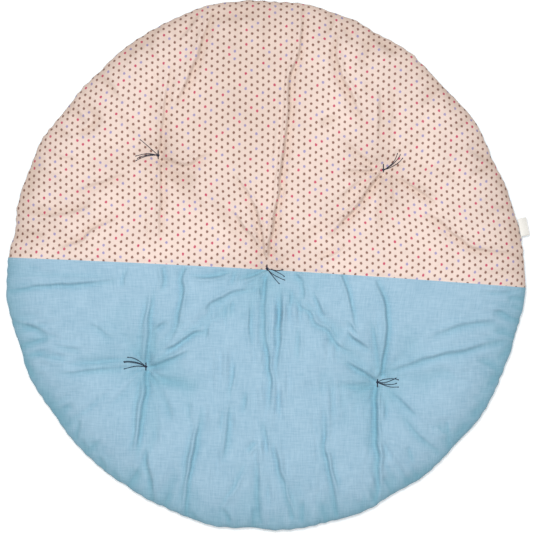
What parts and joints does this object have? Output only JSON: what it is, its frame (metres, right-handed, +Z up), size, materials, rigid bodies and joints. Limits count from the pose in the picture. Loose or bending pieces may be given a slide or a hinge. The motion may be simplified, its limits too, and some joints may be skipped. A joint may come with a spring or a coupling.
{
  "type": "round floor cushion",
  "caption": "Round, thin, tufted floor cushion with a puckered edge seam and short thread ties with free ends; its front is half dotted cotton and half plain chambray.",
  "frame": {"origin": "on the floor, under the middle of the plan box of the cushion and its side label", "axes": "+Z up, from the back that lies on the floor to the tufted front; +Y towards the dotted half of the front; +X towards the side label"},
  "size_m": [0.9856, 0.9976, 0.0601],
  "materials": {
    "cushion_cloth": "matt plain-weave cotton",
    "tie_thread": "twisted cotton thread",
    "label_tape": "flat woven tape, bare"
  },
  "bodies": {
    "root": {"cushion": "cushion_cloth", "tie_centre": "tie_thread", "tie_upper_left": "tie_thread", "tie_upper_right": "tie_thread", "tie_lower_left": "tie_thread", "tie_lower_right": "tie_thread", "label": "label_tape"}
  },
  "joints": []
}
